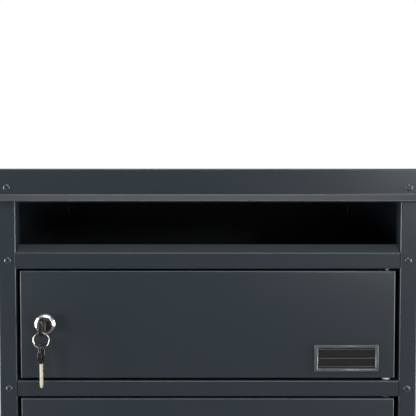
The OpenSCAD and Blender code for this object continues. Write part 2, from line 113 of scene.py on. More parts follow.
# %% [markdown]
# ## Light
# A dark glossy sheet shows the room more than its own colour. A white wall stands behind the cabinet, the
# room in front is dim, and the ceiling is bright, so the world is a plain blend by direction. Two softboxes
# stand level with the front, one at each side: they draw the thin bright lines down the doors' folded
# edges. One over the front lights what slopes upwards, such as the drip edge. A small one at the front
# right gives the soft glow at the right end of the roof's front. Two low ones far out at the sides reach a
# little way into the slot. All of it could come from a studio image, but a few named lights say what each
# reflection is for.

# %% World
world = bpy.data.worlds.new("studio")
bpy.context.scene.world = world
world.use_nodes = True
room = world.node_tree
room.nodes.clear()
DIM_FRONT, BRIGHT_WALL, CEILING = 0.10, 1.02, 0.65
direction = add(room, "ShaderNodeSeparateXYZ",
                {0: add(room, "ShaderNodeTexCoord").outputs["Generated"]}).outputs
behind = add(room, "ShaderNodeMapRange", {"Value": direction["Y"], "From Min": -0.25, "From Max": 0.35,
                                          "To Min": DIM_FRONT, "To Max": BRIGHT_WALL},
             interpolation_type="SMOOTHSTEP").outputs[0]
ceiling = add(room, "ShaderNodeMapRange", {"Value": direction["Z"], "From Min": 0.35, "From Max": 0.95,
                                           "To Min": 0.0, "To Max": CEILING},
              interpolation_type="SMOOTHSTEP").outputs[0]
level = add(room, "ShaderNodeMath", {0: behind, 1: ceiling}, operation="MAXIMUM").outputs[0]
sky = add(room, "ShaderNodeBackground", {"Color": linear("#FFFFFF"), "Strength": level})
add(room, "ShaderNodeOutputWorld", {"Surface": sky.outputs[0]})
print("world from", DIM_FRONT, "in front to", BRIGHT_WALL, "behind")

# %% Softboxes
def softbox(name, place, aim, width, height, power):
    """A rectangular light at place that faces aim. The camera doesn't see it."""
    data = bpy.data.lights.new(name, "AREA")
    data.shape, data.size, data.size_y, data.energy = "RECTANGLE", width, height, power
    light = bpy.data.objects.new(name, data)
    bpy.context.scene.collection.objects.link(light)
    light.location = place
    light.rotation_euler = (Vector(aim) - Vector(place)).to_track_quat("-Z", "Y").to_euler()
    light.visible_camera = False
    print("light", name, place, "W", power)


softbox("left_softbox", (-1.45, -0.42, 0.55), (0, -0.15, 0.5), 0.45, 1.1, 25)
softbox("right_softbox", (1.45, -0.42, 0.55), (0, -0.15, 0.5), 0.45, 1.1, 22)
softbox("top_softbox", (0, -1.20, 2.0), (0, -0.1, 0.5), 1.4, 0.30, 18)
softbox("front_right_softbox", (0.98, -2.1, 1.06), (0.2, -0.2, 0.65), 0.35, 0.35, 11)
softbox("left_slot_fill", (-2.5, -2.6, 0.32), (0, 0.1, 0.62), 0.8, 0.5, 24)
softbox("right_slot_fill", (2.5, -2.6, 0.32), (0, 0.1, 0.62), 0.8, 0.5, 24)

# %% [markdown]
# ## Floor
# The unit stands on a matt pale floor. A real studio would stand it higher, where its lower doors mirror the
# dim room. Here the floor is hidden from reflections instead, which has the same effect and keeps the base on
# the ground. It lies a hair under the base, so that the two faces don't fight for the same place.

# %% Floor
FLOOR_SIZE, FLOOR_LEVEL = 9, -0.0002
bpy.ops.mesh.primitive_plane_add(size=FLOOR_SIZE, location=(0, 0, FLOOR_LEVEL))
floor = bpy.context.object
floor.name = "floor"
floor.visible_glossy = False
paper = bpy.data.materials.new("studio_floor_matt_paint")
paper.use_nodes = True
grain = add(paper.node_tree, "ShaderNodeTexNoise",
            {"Vector": add(paper.node_tree, "ShaderNodeTexCoord").outputs["Object"], "Scale": per_mm(400)})
shade = add(paper.node_tree, "ShaderNodeMix", {0: grain.outputs[0], 6: linear("#D2D2D0"),
                                               7: linear("#DCDCDA")}, data_type="RGBA")
paper.node_tree.links.new(shade.outputs[2], paper.node_tree.nodes["Principled BSDF"].inputs["Base Color"])
paper.node_tree.nodes["Principled BSDF"].inputs["Roughness"].default_value = 0.7
floor.data.materials.append(paper)

print("floor", FLOOR_SIZE, "m square")

# %% View transform
scene_view = bpy.context.scene.view_settings
scene_view.view_transform = "Standard"
scene_view.look = "None"
print("view transform", scene_view.view_transform)

# %% [markdown]
# ## Finishes
# Each material is named for its real finish. Every pattern reads Object coordinates, in metres, and its
# scale is worked out from a size in millimetres. Constant values sit on the shader's own sockets. Four small
# steps are shared by all finishes: start one, spread its colour, spread its roughness, raise its surface.

# %% Starting a finish
def finish(name, **sockets):
    """A new material with its node tree, its shader and its Object coordinates."""
    material = bpy.data.materials.new(name)
    material.use_nodes = True
    tree = material.node_tree
    shader = tree.nodes["Principled BSDF"]
    for socket, value in sockets.items():
        shader.inputs[socket.replace("_", " ")].default_value = value
    place = add(tree, "ShaderNodeTexCoord").outputs["Object"]
    return material, tree, shader, place


def noise(tree, place, size, detail=2.0):
    """Noise whose blobs are size millimetres wide."""
    settings = {"Vector": place, "Scale": per_mm(size), "Detail": detail}
    return add(tree, "ShaderNodeTexNoise", settings).outputs[0]


def blend_colours(tree, shader, factor, low, high):
    """Lets the base colour wander between two colours."""
    mixed = add(tree, "ShaderNodeMix", {0: factor, 6: linear(low), 7: linear(high)}, data_type="RGBA")
    tree.links.new(mixed.outputs[2], shader.inputs["Base Color"])


def vary_roughness(tree, shader, factor, low, high):
    """Spreads a noise over a range of roughness."""
    spread = add(tree, "ShaderNodeMapRange", {"Value": factor, "From Min": 0.2, "From Max": 0.8,
                                              "To Min": low, "To Max": high})
    tree.links.new(spread.outputs[0], shader.inputs["Roughness"])


def raise_surface(tree, shader, height, millimetres, strength=1.0):
    """Bumps the surface by a height map whose full range is this many millimetres."""
    bump = add(tree, "ShaderNodeBump", {"Height": height, "Distance": millimetres * MM, "Strength": strength})
    tree.links.new(bump.outputs[0], shader.inputs["Normal"])


# %% [markdown]
# ### Powder coat
# Polyester powder is sprayed on dry and baked. It flows out into a skin with orange peel: waves of one to
# three millimetres, a few thousandths of a millimetre high, with a finer grain in them. The coat is semi
# gloss. The wave is drawn a little higher than the real one, so that it shows at this size as a faint
# unrest in the reflections. The colour wanders very slightly, as the coat's thickness does.

# %% Powder coat
def powder_coat(name, low, high, smooth, rough):
    """Anthracite polyester powder, from two close shades and a range of roughness."""
    material, tree, shader, place = finish(name, IOR=1.5)
    shader.inputs["Specular IOR Level"].default_value = 0.5
    cloud = noise(tree, place, 130, 1.0)
    peel = noise(tree, place, 2.2, 1.0)
    grain = noise(tree, place, 0.7, 1.0)
    blend_colours(tree, shader, cloud, low, high)
    vary_roughness(tree, shader, noise(tree, place, 90, 1.0), smooth, rough)    # slow, so it makes no spots
    skin = add(tree, "ShaderNodeMath", {0: grain, 1: 0.3, 2: peel}, operation="MULTIPLY_ADD").outputs[0]
    raise_surface(tree, shader, skin, 0.035, 0.55)
    return material


SHEET_PAINT = powder_coat("anthracite_powder_coat", "#21282D", "#23292E", 0.275, 0.30)
RIVET_PAINT = powder_coat("anthracite_rivet_enamel", "#2B3034", "#33383C", 0.16, 0.22)
print("finish", SHEET_PAINT.name, RIVET_PAINT.name)

# %% [markdown]
# ### Plated metals
# The lock's head is a zinc casting with polished chrome plate: nearly a mirror, with faint polishing haze.
# Its plug is the same casting with a dull dark plate. Nuts, cams and pins are steel with bright zinc, which
# has a soft grey grain. The zinc is drawn darker than bare zinc: partly its own grey, partly painted shade
# for the pins that sit in the shaded gaps between rail and door. The keys' blades are milled brass with thin
# nickel, which looks warm and pale. The ring is nickel-plated wire. They keep the default IOR, and their
# colour is their reflection. The blades are the exception: flat and upright, they would mirror only the dim
# room and look dark, so most of their light is made to scatter.

# %% Plated metals
def plated(name, low, high, smooth, rough, grain_mm, haze_mm, height_mm):
    """A plated metal with a fine grain and a slow haze."""
    material, tree, shader, place = finish(name, Metallic=1.0)
    haze = noise(tree, place, haze_mm, 3.0)
    blend_colours(tree, shader, haze, low, high)
    vary_roughness(tree, shader, haze, smooth, rough)
    raise_surface(tree, shader, noise(tree, place, grain_mm, 2.0), height_mm, 0.5)
    return material


CHROME = plated("polished_chrome_plate", "#D2D3D6", "#E6E7EA", 0.18, 0.26, 0.8, 6, 0.004)
PLUG_PLATE = plated("dull_dark_zinc_casting", "#4A4640", "#6A6459", 0.26, 0.40, 0.5, 3, 0.012)
# Partly painted shade: the zinc is darker than bare zinc, for the pins in the shaded gaps over the doors.
ZINC_WITH_PAINTED_SHADE = plated("bright_zinc_plated_steel_painted_shade", "#8C9095", "#A9ADB0", 0.28, 0.40, 0.6, 8, 0.01)
KEY_METAL = plated("nickel_plated_milled_brass", "#CFC8B0", "#E0DAC6", 0.30, 0.42, 0.35, 5, 0.008)
KEY_METAL.node_tree.nodes["Principled BSDF"].inputs["Metallic"].default_value = 0.35
RING_METAL = plated("nickel_plated_spring_wire", "#CFCBBE", "#E2DFD4", 0.14, 0.24, 0.5, 5, 0.006)
print("metals", CHROME.name, PLUG_PLATE.name, ZINC_WITH_PAINTED_SHADE.name, KEY_METAL.name, RING_METAL.name)

# %% [markdown]
# ### Plastics and card
# The keys' handles are moulded ABS with a fine spark-eroded grain. The hinge bushes are natural nylon,
# slightly translucent and waxy. The name plate's cover is clear moulded polycarbonate over a card of plain
# black paper board, whose fibres give it a dull, slightly warm surface. Clear plastic could be made with
# transmission, but so thin a cover over so dark a card came out too dark. A constant alpha shows the card
# through it and keeps the cover's own highlights. The rim's grey colour is painted light: it stands for the
# light that the thick clear rim gathers, which clear plastic doesn't have as a colour of its own.

# %% Plastics and card
def moulded(name, low, high, smooth, rough, grain_mm, height_mm, **sockets):
    """A moulded or pressed surface with a fine even grain."""
    material, tree, shader, place = finish(name, **sockets)
    blend_colours(tree, shader, noise(tree, place, 9, 3.0), low, high)
    vary_roughness(tree, shader, noise(tree, place, 4, 3.0), smooth, rough)
    raise_surface(tree, shader, noise(tree, place, grain_mm, 1.0), height_mm, 0.6)
    return material


HANDLE_ABS = moulded("black_grained_abs", "#0B0B0C", "#131314", 0.34, 0.44, 0.5, 0.02, IOR=1.53)
NYLON = moulded("natural_nylon", "#E2E2DD", "#F0F0EC", 0.34, 0.44, 1.2, 0.01, IOR=1.53)
NYLON.node_tree.nodes["Principled BSDF"].inputs["Subsurface Weight"].default_value = 0.15
NYLON.node_tree.nodes["Principled BSDF"].inputs["Subsurface Scale"].default_value = 0.001
CARD = moulded("black_paper_board", "#11100F", "#181716", 0.60, 0.72, 0.6, 0.004, IOR=1.45)
# Painted light: the rim's grey colour stands for the light gathered in the thick clear rim.
RIM_PAINTED_GLOW = moulded("clear_polycarbonate_rim_painted_glow", "#45494B", "#53585A", 0.12, 0.20, 3.0, 0.003, IOR=1.58, Alpha=0.6)
WINDOW = moulded("clear_polycarbonate_window", "#202020", "#2A2A2A", 0.08, 0.14, 6.0, 0.002, IOR=1.58,
                 Alpha=0.3)
print("plastics", HANDLE_ABS.name, NYLON.name, RIM_PAINTED_GLOW.name, WINDOW.name, CARD.name)

# %% [markdown]
# ### The folded sheets
# Roof, sides, back, base, sill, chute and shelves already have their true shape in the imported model, with
# every bend, hem, tab and rivet hole, so they only get the powder coat.

# %% Coat the folded sheets
SHEETS = ["roof_cap", "left_side_panel", "right_side_panel", "back_panel", "base_pan", "slot_sill",
          "drop_chute", "shelf_1", "shelf_2", "shelf_3"]
for name in SHEETS:
    NODES[name].data.materials.clear()
    NODES[name].data.materials.append(SHEET_PAINT)
print("coated", len(SHEETS), "sheets")

# %% [markdown]
# ## Modelling by hand, in code
# Each new piece starts as a primitive at its place, is shaped in edit mode, and ends with its object at
# the origin and its place in its mesh. These helpers keep the steps short: open a new primitive, pick parts
# of it by their place, and close it with smooth shading up to an angle.

# %% Opening, picking and closing
def deselect():
    """Leaves edit mode and selects nothing."""
    if bpy.context.object and bpy.context.object.mode != "OBJECT":
        bpy.ops.object.mode_set(mode="OBJECT")
    bpy.ops.object.select_all(action="DESELECT")


def open_new(name):
    """Names the primitive that was just added and opens it in edit mode, with nothing selected."""
    piece = bpy.context.object
    piece.name = piece.data.name = name
    bpy.ops.object.transform_apply(location=True, rotation=True, scale=True)
    bpy.ops.object.mode_set(mode="EDIT")
    bpy.ops.mesh.select_mode(type="VERT")
    bpy.ops.mesh.select_all(action="DESELECT")
    return piece


def pick(kind, test):
    """Selects the vertices, edges or faces of the open piece whose middle passes the test."""
    bpy.ops.mesh.select_mode(type=kind)
    bpy.ops.mesh.select_all(action="DESELECT")
    mesh = bmesh.from_edit_mesh(bpy.context.object.data)
    parts = {"VERT": mesh.verts, "EDGE": mesh.edges, "FACE": mesh.faces}[kind]
    count = 0
    for part in parts:
        if kind == "VERT":
            middle = part.co
        else:
            middle = sum((v.co for v in part.verts), Vector()) / len(part.verts)
        if test(middle, part):
            part.select_set(True)
            count += 1
    mesh.select_flush_mode()
    bmesh.update_edit_mesh(bpy.context.object.data)
    return count


def close(angle=32):
    """Leaves edit mode with smooth shading up to an angle, and returns the piece."""
    piece = bpy.context.object
    if piece.mode != "OBJECT":
        bpy.ops.object.mode_set(mode="OBJECT")
    piece.select_set(True)
    bpy.ops.object.shade_smooth_by_angle(angle=math.radians(angle))
    return piece


def close_again(piece, angle=32):
    """Makes a piece that was cut the active one and shades it anew."""
    deselect()
    bpy.context.view_layer.objects.active = piece
    return close(angle)


# %% [markdown]
# Two starts are enough for nearly everything here. A block is a cube at its size and place. A turned piece
# is made as on a lathe: one point is drawn out into the profile by extruding it, and the profile is spun
# round the axis. Its seam is merged and its normals are made to point outwards.

# %% Blocks and turned pieces
def block(name, low, high):
    """A cube between two corners, open for shaping."""
    deselect()
    low, high = Vector(low), Vector(high)
    bpy.ops.mesh.primitive_cube_add(size=1, location=(low + high) / 2, scale=high - low)
    return open_new(name)


def turned(name, centre, along, out, profile, steps=40):
    """A lathe. The profile is (radius, height) in mm, height counted along the axis from the centre."""
    deselect()
    centre, along, out = Vector(centre), Vector(along), Vector(out)
    points = [centre + out * r * MM + along * h * MM for r, h in profile]
    bpy.ops.mesh.primitive_plane_add(size=MM, location=points[0])
    piece = open_new(name)
    bpy.ops.mesh.select_all(action="SELECT")
    bpy.ops.mesh.merge(type="CENTER")
    for here, there in zip(points, points[1:]):
        bpy.ops.mesh.extrude_region_move(TRANSFORM_OT_translate={"value": there - here})
    bpy.ops.mesh.select_all(action="SELECT")
    bpy.ops.mesh.spin(steps=steps, angle=2 * math.pi, center=centre, axis=along)
    bpy.ops.mesh.select_all(action="SELECT")
    bpy.ops.mesh.remove_doubles(threshold=MM / 500)
    bpy.ops.mesh.normals_make_consistent(inside=False)
    bpy.ops.mesh.select_all(action="DESELECT")
    return piece


# %% [markdown]
# Holes and slots are cut with a Boolean modifier that is applied at once. Parts that are one casting or one
# fastener are joined. What repeats is modelled once and copied, each copy with its own mesh.

# %% Cutting, joining and copying
def cut(piece, tool, operation="DIFFERENCE"):
    """Cuts piece with tool, which is then removed."""
    deselect()
    bpy.context.view_layer.objects.active = piece
    piece.select_set(True)
    modifier = piece.modifiers.new("cut", "BOOLEAN")
    modifier.operation, modifier.solver, modifier.object = operation, "EXACT", tool
    bpy.ops.object.modifier_apply(modifier=modifier.name)
    bpy.data.objects.remove(tool)
    return piece


def join(pieces, name):
    """Joins pieces into one, under a new name."""
    deselect()
    for piece in pieces:
        piece.select_set(True)
    bpy.context.view_layer.objects.active = pieces[0]
    bpy.ops.object.join()
    pieces[0].name = pieces[0].data.name = name
    return pieces[0]


def copied(piece, name, matrix):
    """A copy with its own mesh, moved by a matrix that is applied to the mesh."""
    twin = piece.copy()
    twin.data = piece.data.copy()
    twin.name = twin.data.name = name
    bpy.context.scene.collection.objects.link(twin)
    twin.data.transform(matrix)
    return twin


def settle(piece, material, body, slot, *nodes):
    """Gives a finished piece its material and its body, and hides the CAD nodes it stands for. Its slot is not
    used.
    """
    piece.data.materials.clear()
    piece.data.materials.append(material)
    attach(piece, body)
    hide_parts(*nodes)
    return piece


def solids_of(node, reach_mm):
    """The box of each separate small solid in a CAD node, from vertices within reach of its first one."""
    groups = []
    for vertex in NODES[node].data.vertices:
        for group in groups:
            if (vertex.co - group[0]).length < reach_mm * MM:
                group.append(vertex.co.copy())
                break
        else:
            groups.append([vertex.co.copy()])
    return [(Vector(map(min, zip(*group))), Vector(map(max, zip(*group)))) for group in groups]


print("helpers ready")

# %% [markdown]
# ## Blind rivets
# A blind rivet is set from outside: its mandrel is pulled until it breaks, and leaves a low dome with a
# dark hole in its middle, where the broken mandrel end sits deep. The far end is upset into a bulb. The
# unit was painted after riveting, so the heads have the sheet's colour, a little glossier. A bevelled
# cylinder would give the dome but not the hole and the bulb. A lathe profile gives all of it in one piece, so
# one rivet is turned at the origin, facing the viewer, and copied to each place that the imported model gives.

# %% One rivet
HEAD_RISE = 1.5
rivet = turned("rivet_model", (0, 0, 0), (0, -1, 0), (1, 0, 0), [
    (0, -5.4), (1.6, -5.35), (2.5, -5.1), (2.8, -4.3), (2.6, -3.2), (2.05, -2.6), (2.0, -0.1),
    (3.45, -0.02), (3.7, 0.08), (3.75, 0.3), (3.62, 0.6), (3.2, 0.95), (2.6, 1.25), (1.95, 1.44),
    (1.5, 1.5), (1.25, 1.46), (1.12, 1.3), (1.08, 0.45), (0.95, 0.32), (0.5, 0.36), (0, 0.4)], steps=28)
rivet = close(40)
print("rivet faces", len(rivet.data.polygons))

# %% Rivets at every place
FACING = {"front_rivets": Matrix.Identity(4), "left_side_rivets": Matrix.Rotation(-math.pi / 2, 4, "Z"),
          "right_side_rivets": Matrix.Rotation(math.pi / 2, 4, "Z"),
          "roof_rivets": Matrix.Rotation(-math.pi / 2, 4, "X")}
for node, turn in FACING.items():
    out = turn @ Vector((0, -1, 0))
    rivets = []
    for low, high in solids_of(node, reach_mm=16):
        middle, half = (low + high) / 2, (high - low) / 2
        tip = middle + Vector(o * h for o, h in zip(out, half))
        seat = tip - out * HEAD_RISE * MM
        rivets.append(copied(rivet, f"{node}_{len(rivets)}", Matrix.Translation(seat) @ turn))
    group = join(rivets, f"{node}_set")
    settle(group, RIVET_PAINT, "cabinet", "rivet_paint", node)
    print(node, len(rivets))
bpy.data.objects.remove(rivet)

# %% [markdown]
# ## Hinge pins and bushes
# Each door turns on steel pins that stand in the rails over and under it. A pin is bar with turned
# chamfers and a retaining ring's groove. A nylon bush with a washer sits in the door: the lower washer
# carries the door's weight and shows as a white spot in the gap. Both are round, so both are turned, and the
# pin's length and its collar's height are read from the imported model.

# %% Hinge pins
pins = []
for low, high in solids_of("hinge_pins", reach_mm=60):
    middle = (low + high) / 2
    length = (high.z - low.z) / MM
    flange = [v.co.z for v in NODES["hinge_pins"].data.vertices
              if low.z < v.co.z < high.z and math.hypot(v.co.x - middle.x, v.co.y - middle.y) > 3.5 * MM]
    ring_low, ring_high = (min(flange) - low.z) / MM, (max(flange) - low.z) / MM
    groove = ring_high + 0.6
    turned(f"hinge_pin_{len(pins)}", (middle.x, middle.y, low.z), (0, 0, 1), (1, 0, 0), [
        (0, 0), (1.9, 0), (2.3, 0.15), (2.5, 0.6), (2.5, ring_low), (3.8, ring_low), (4.0, ring_low + 0.2),
        (4.0, ring_high - 0.2), (3.8, ring_high), (2.5, ring_high), (2.5, groove), (2.1, groove),
        (2.1, groove + 0.7), (2.5, groove + 0.7), (2.5, length - 0.6), (2.3, length - 0.15),
        (1.9, length), (0, length)], steps=32)
    pins.append(close())
settle(join(pins, "hinge_pin_set"), ZINC_WITH_PAINTED_SHADE, "cabinet", "bright_steel", "hinge_pins")
print("hinge pins", len(pins))

# %% Nylon bushes
for i in DOORS:
    low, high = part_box(f"door_{i}_bushes")
    x, y = (low.x + high.x) / 2, (low.y + high.y) / 2
    turned(f"lower_bush_{i}", (x, y, low.z), (0, 0, 1), (1, 0, 0), [
        (2.75, 0), (3.95, 0), (4.2, 0.12), (4.25, 0.35), (4.25, 2.2), (4.1, 2.4), (3.5, 2.45), (3.5, 7.2),
        (3.3, 7.45), (2.75, 7.45), (2.56, 7.2), (2.56, 0.2), (2.75, 0)])
    lower = close()
    turned(f"upper_bush_{i}", (x, y, high.z), (0, 0, -1), (1, 0, 0), [
        (2.75, 0), (3.3, 0), (3.5, 0.2), (3.5, 1.0), (4.1, 1.0), (4.25, 1.15), (4.25, 2.85), (4.1, 3.0),
        (3.5, 3.0), (3.5, 4.8), (3.3, 5.0), (2.75, 5.0), (2.56, 4.8), (2.56, 0.2), (2.75, 0)])
    settle(join([lower, close()], f"door_{i}_nylon_bushes"), NYLON, f"door_{i}", "white_nylon",
           f"door_{i}_bushes")
print("bush pair height", round((high.z - low.z) / MM, 2), "mm")

# %% [markdown]
# ## Doors
# A door is one sheet, folded back on all four sides. It starts as a block without its back. The front
# edges and the corners are bevelled to the fold's radius, and a Solidify modifier gives the sheet its
# thickness inwards. A solid block cut hollow would do too, but this way the fold has its true inner radius.
# The lock's hole and the bushes' holes are cut last, through the sheet.

# %% One door
SHEET = 1.0
FOLD_RADIUS = 1.8
CORNER_RADIUS = 0.5
LOCK_HOLE_RADIUS, BUSH_HOLE_RADIUS = 9.6, 3.55
LOCK_AT = {i: sum(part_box(f"door_{i}_lock_body"), Vector()) / 2 for i in DOORS}
BUSH_AT = {i: sum(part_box(f"door_{i}_bushes"), Vector()) / 2 for i in DOORS}
door_low, door_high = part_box("door_1_panel")
door = block("door_model", door_low, door_high)
pick("FACE", lambda c, f: f.normal.y > 0.9)
bpy.ops.mesh.delete(type="FACE")
pick("EDGE", lambda c, e: c.y < door_low.y + 0.1 * MM)
bpy.ops.mesh.bevel(offset=FOLD_RADIUS * MM, segments=6, affect="EDGES")
door_middle_y = (door_low.y + door_high.y) / 2
pick("EDGE", lambda c, e: abs(c.y - door_middle_y) < 3 * MM and abs(c.x) > door_high.x - 1 * MM
     and abs((e.verts[0].co - e.verts[1].co).normalized().y) > 0.9)
bpy.ops.mesh.bevel(offset=CORNER_RADIUS * MM, segments=3, affect="EDGES")
door = close(30)
shell = door.modifiers.new("sheet", "SOLIDIFY")
shell.thickness, shell.offset = SHEET * MM, -1
bpy.ops.object.modifier_apply(modifier=shell.name)
print("door faces", len(door.data.polygons), "size in mm", [round(v / MM, 1) for v in door.dimensions])

# %% Holes in the door
turned("lock_hole", (LOCK_AT[1].x, 0, LOCK_AT[1].z), (0, 1, 0), (1, 0, 0),
       [(0, -200), (LOCK_HOLE_RADIUS, -200), (LOCK_HOLE_RADIUS, -180), (0, -180)])
cut(door, close())
for z, start in ((door_low.z, -1), (door_high.z, -3)):
    turned("bush_hole", (BUSH_AT[1].x, BUSH_AT[1].y, z), (0, 0, 1), (1, 0, 0),
           [(0, start), (BUSH_HOLE_RADIUS, start), (BUSH_HOLE_RADIUS, start + 4), (0, start + 4)])
    cut(door, close())
door = close_again(door, 30)
print("door with holes", len(door.data.polygons))

# %% Doors at every place
for i in DOORS:
    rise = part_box(f"door_{i}_panel")[0].z - door_low.z
    panel = copied(door, f"door_{i}_folded_panel", Matrix.Translation((0, 0, rise)))
    settle(panel, SHEET_PAINT, f"door_{i}", "powder_coat", f"door_{i}_panel")
bpy.data.objects.remove(door)
print("doors", len(DOORS))

# %% [markdown]
# ## Name plate
# A clear moulded holder carries a black card. Clear plastic is dark where it lies flat over the card, and
# grey where its thick rim gathers the light; here that grey is painted light, a grey colour in the rim's
# material. So the rim and the window are two pieces: a frame with a chamfered edge and three fine ribs
# across it that catch the light, and a thin sheet behind the ribs. The frame is a block with a chamfered
# front and an opening cut through it.

# %% Rim of the holder
RIB_HEIGHTS = (9.8, 0.1, -8.9)
RIB_HALF = 0.4
OPENING = Vector((61.8, 0, 22.3))
OPENING_RISE = 0.35         # the opening's middle over the holder's
low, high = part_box("door_1_label_holder")
plate_middle = (low + high) / 2
back = high.y - 0.02 * MM    # a hair off the door


def plate_corners(c, e):
    """The four edges of a thin block that run from its front to its back."""
    return abs(c.x - plate_middle.x) > 30 * MM and abs(c.z - plate_middle.z) > 10 * MM


rim = block("rim_model", low, (high.x, back, high.z))
pick("EDGE", lambda c, e: c.y < low.y + 0.1 * MM)
bpy.ops.mesh.bevel(offset=1.4 * MM, segments=3, affect="EDGES")
rim = close(35)
middle = Vector((plate_middle.x, 0, plate_middle.z + OPENING_RISE * MM))
block("opening_tool", middle - OPENING / 2 * MM + Vector((0, -0.25, 0)), middle + OPENING / 2 * MM)
pick("EDGE", plate_corners)
bpy.ops.mesh.bevel(offset=0.6 * MM, segments=3, affect="EDGES")
cut(rim, close())
ribs = [rim]
for height in RIB_HEIGHTS:
    z = plate_middle.z + height * MM
    half = Vector((OPENING.x / 2 + 0.2, 0, RIB_HALF)) * MM
    block("rib", (middle.x - half.x, low.y + 0.7 * MM, z - half.z),
          (middle.x + half.x, low.y + 1.2 * MM, z + half.z))
    pick("EDGE", lambda c, e: c.y < low.y + 0.75 * MM and abs(c.z - z) > 0.3 * MM)
    bpy.ops.mesh.bevel(offset=0.25 * MM, segments=3, affect="EDGES")
    ribs.append(close(35))
rim = join(ribs, "rim_model")
print("rim with ribs", len(ribs) - 1, "faces", len(rim.data.polygons))

# %% Window of the holder
window_half = Vector((31.1, 0.25, 11.35)) * MM
window_middle = Vector((middle.x, low.y + 1.4 * MM, middle.z))
window = block("window_model", window_middle - window_half, window_middle + window_half)
pick("EDGE", plate_corners)
bpy.ops.mesh.bevel(offset=0.6 * MM, segments=3, affect="EDGES")
window = close(35)
print("window faces", len(window.data.polygons))

# %% Card and copies
card_size = Vector((61.3, 0.8, 21.2)) * MM
card_middle = Vector((plate_middle.x, high.y - 0.6 * MM, plate_middle.z))
card = block("card_model", card_middle - card_size / 2, card_middle + card_size / 2)
pick("EDGE", plate_corners)
bpy.ops.mesh.bevel(offset=0.8 * MM, segments=3, affect="EDGES")
pick("EDGE", lambda c, e: c.y < card_middle.y - 0.3 * MM)
bpy.ops.mesh.bevel(offset=0.1 * MM, segments=1, affect="EDGES")
card = close(35)
for i in DOORS:
    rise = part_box(f"door_{i}_panel")[0].z - door_low.z
    shift = Matrix.Translation((0, 0, rise))
    settle(copied(rim, f"door_{i}_clear_rim", shift), RIM_PAINTED_GLOW, f"door_{i}", "clear_plastic",
           f"door_{i}_label_holder")
    settle(copied(window, f"door_{i}_clear_window", shift), WINDOW, f"door_{i}", "clear_plastic",
           f"door_{i}_label_holder")
    settle(copied(card, f"door_{i}_black_card", shift), CARD, f"door_{i}", "black_card",
           f"door_{i}_label_card")
for model in (rim, window, card):
    bpy.data.objects.remove(model)
print("name plates", len(DOORS))

# %% [markdown]
# ## Cam lock
# The body is a casting with a bevelled chrome head and a threaded barrel with two flats, so that it can't
# turn in its hole. The head and the barrel are turned as two closed profiles. The thread could be a helix,
# but inside a closed door plain rings look the same and stay light. The barrel's flats are made by bisecting
# it and filling the cut, and the two are joined.

# %% Lock head and barrel
lock = Vector((LOCK_AT[1].x, FRONT_Y, LOCK_AT[1].z))
OUTWARDS, ACROSS = (0, -1, 0), (1, 0, 0)
turned("lock_head", lock, OUTWARDS, ACROSS, [
    (9.0, 0.02), (11.2, 0.02), (11.45, 0.15), (11.5, 0.4), (11.5, 1.0), (11.42, 1.35), (11.22, 1.8),
    (10.9, 2.3), (10.5, 2.8), (10.0, 3.3), (9.5, 3.7), (9.0, 4.05), (8.6, 4.28), (8.2, 4.44), (7.95, 4.46),
    (7.7, 4.38), (7.56, 4.15), (7.55, 2.7), (6.6, 2.6), (6.6, 0.02), (9.0, 0.02)], steps=64)
head = close(25)
PITCH, THREAD_TURNS, FLAT_HALF = 1.0, 22, 8
thread = []
for k in range(THREAD_TURNS):
    thread += [(9.45, -24 + k * PITCH), (8.95, -23.5 + k * PITCH)]
turned("lock_barrel", lock, OUTWARDS, ACROSS, [
    (6.6, 0.3), (6.6, -24.8), (6.8, -25), (8.9, -25), (9.3, -24.6), *thread, (9.0, 0.3),
    (6.6, 0.3)], steps=48)
for side in (-1, 1):
    bpy.ops.mesh.select_all(action="SELECT")
    bpy.ops.mesh.bisect(plane_co=(lock.x + side * FLAT_HALF * MM, 0, 0), plane_no=(side, 0, 0),
                        use_fill=True, clear_outer=True)
barrel = close(25)
lock_body = join([head, barrel], "lock_body_model")
print("lock body faces", len(lock_body.data.polygons))

# %% [markdown]
# The plug turns inside the body. Its face is sunk in the head: a flat rim, a groove, a slightly lower disc,
# and the upright keyway, cut through with a block. Behind, a square end drives the cam. The round part is
# turned, and only what isn't round is added or cut with a Boolean.

# %% Plug
turned("lock_plug_model", lock, OUTWARDS, ACROSS, [
    (0, 3.95), (4.6, 3.98), (5.6, 4.0), (5.9, 3.75), (6.2, 3.72), (6.4, 4.12), (6.7, 4.2), (7.2, 4.2),
    (7.4, 4.1), (7.48, 3.9), (7.48, 2.78), (6.5, 2.75), (6.5, -25.28), (0, -25.28)], steps=48)
plug = close(25)
block("plug_square", lock + Vector((-3.5, 25.2, -3.5)) * MM, lock + Vector((3.5, 27.3, 3.5)) * MM)
pick("EDGE", lambda c, e: abs(c.x - lock.x) > 3 * MM and abs(c.z - lock.z) > 3 * MM)
bpy.ops.mesh.bevel(offset=0.4 * MM, segments=2, affect="EDGES")
cut(plug, close(), "UNION")
block("keyway_tool", lock + Vector((-1.3, -6, -4.05)) * MM, lock + Vector((1.3, 22.4, 4.05)) * MM)
cut(plug, close())
turned("screw_hole", lock, (0, 1, 0), ACROSS, [(0, 23.3), (2.05, 23.3), (2.05, 30), (0, 30)], steps=24)
cut(plug, close())
plug = close_again(plug, 25)
print("plug faces", len(plug.data.polygons))

# %% [markdown]
# A hexagon nut holds the body from inside. Its corners are chamfered by keeping only what it shares with a
# turned disc. The cam is a strip of steel: it is bisected at its crank, its lower part is moved towards the
# door, its corners are rounded off, and its square hole is cut.

